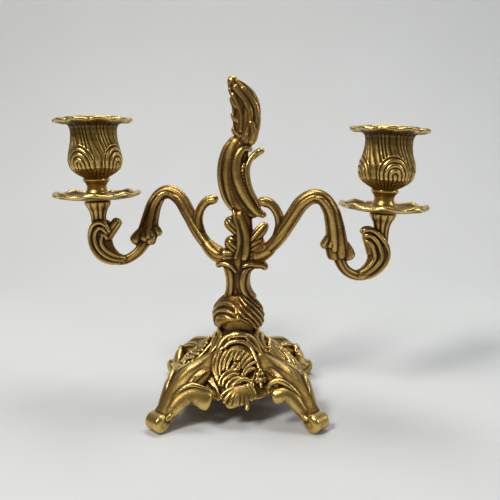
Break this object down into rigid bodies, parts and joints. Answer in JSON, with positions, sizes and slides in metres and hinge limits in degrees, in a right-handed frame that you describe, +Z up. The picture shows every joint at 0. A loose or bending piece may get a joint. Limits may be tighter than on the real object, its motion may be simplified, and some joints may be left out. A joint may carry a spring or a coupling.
{
  "type": "candelabrum",
  "caption": "Rococo brass candelabrum: domed base on cabriole legs, leafy scroll stem with flame finial, and arched arms that carry drip pans and tulip candle cups.",
  "frame": {"origin": "on the table, under the axis of the stem, in the middle of the four feet", "axes": "+Z up, the arms run along X and the base stands square to X and Y, so the feet are on its diagonals; the side shown to the room faces -Y"},
  "size_m": [0.2609, 0.121, 0.23],
  "materials": {
    "gilt_brass": "aged gilt, bright ridges and dark brown recesses",
    "plated_steel": "dull plated"
  },
  "bodies": {
    "base": {"base_casting": "gilt_brass", "base_washer": "plated_steel"},
    "branch": {"base_nut": "plated_steel", "tie_rod": "plated_steel", "stem_casting": "gilt_brass", "flame_finial": "gilt_brass", "finial_stud": "plated_steel", "left_arm": "gilt_brass", "left_root_stud": "plated_steel", "left_collar": "gilt_brass", "left_candle_cup": "gilt_brass", "left_lock_washer": "plated_steel", "left_cup_screw": "plated_steel", "right_arm": "gilt_brass", "right_root_stud": "plated_steel", "right_collar": "gilt_brass", "right_candle_cup": "gilt_brass", "right_lock_washer": "plated_steel", "right_cup_screw": "plated_steel"},
    "left_pan": {"left_drip_pan": "gilt_brass"},
    "right_pan": {"right_drip_pan": "gilt_brass"}
  },
  "joints": [
    {"name": "branch_turn", "type": "hinge", "parent": "base", "child": "branch", "pos_m": [0, 0, 0.065], "axis": [0, 0, 1], "continuous": true},
    {"name": "left_pan_turn", "type": "hinge", "parent": "branch", "child": "left_pan", "pos_m": [-0.09972, 0.0075, 0.1458], "axis": [-0.0174, 0.0013, 0.9998], "continuous": true},
    {"name": "right_pan_turn", "type": "hinge", "parent": "branch", "child": "right_pan", "pos_m": [0.09972, -0.0075, 0.1388], "axis": [0.047, -0.0035, 0.9989], "continuous": true}
  ]
}
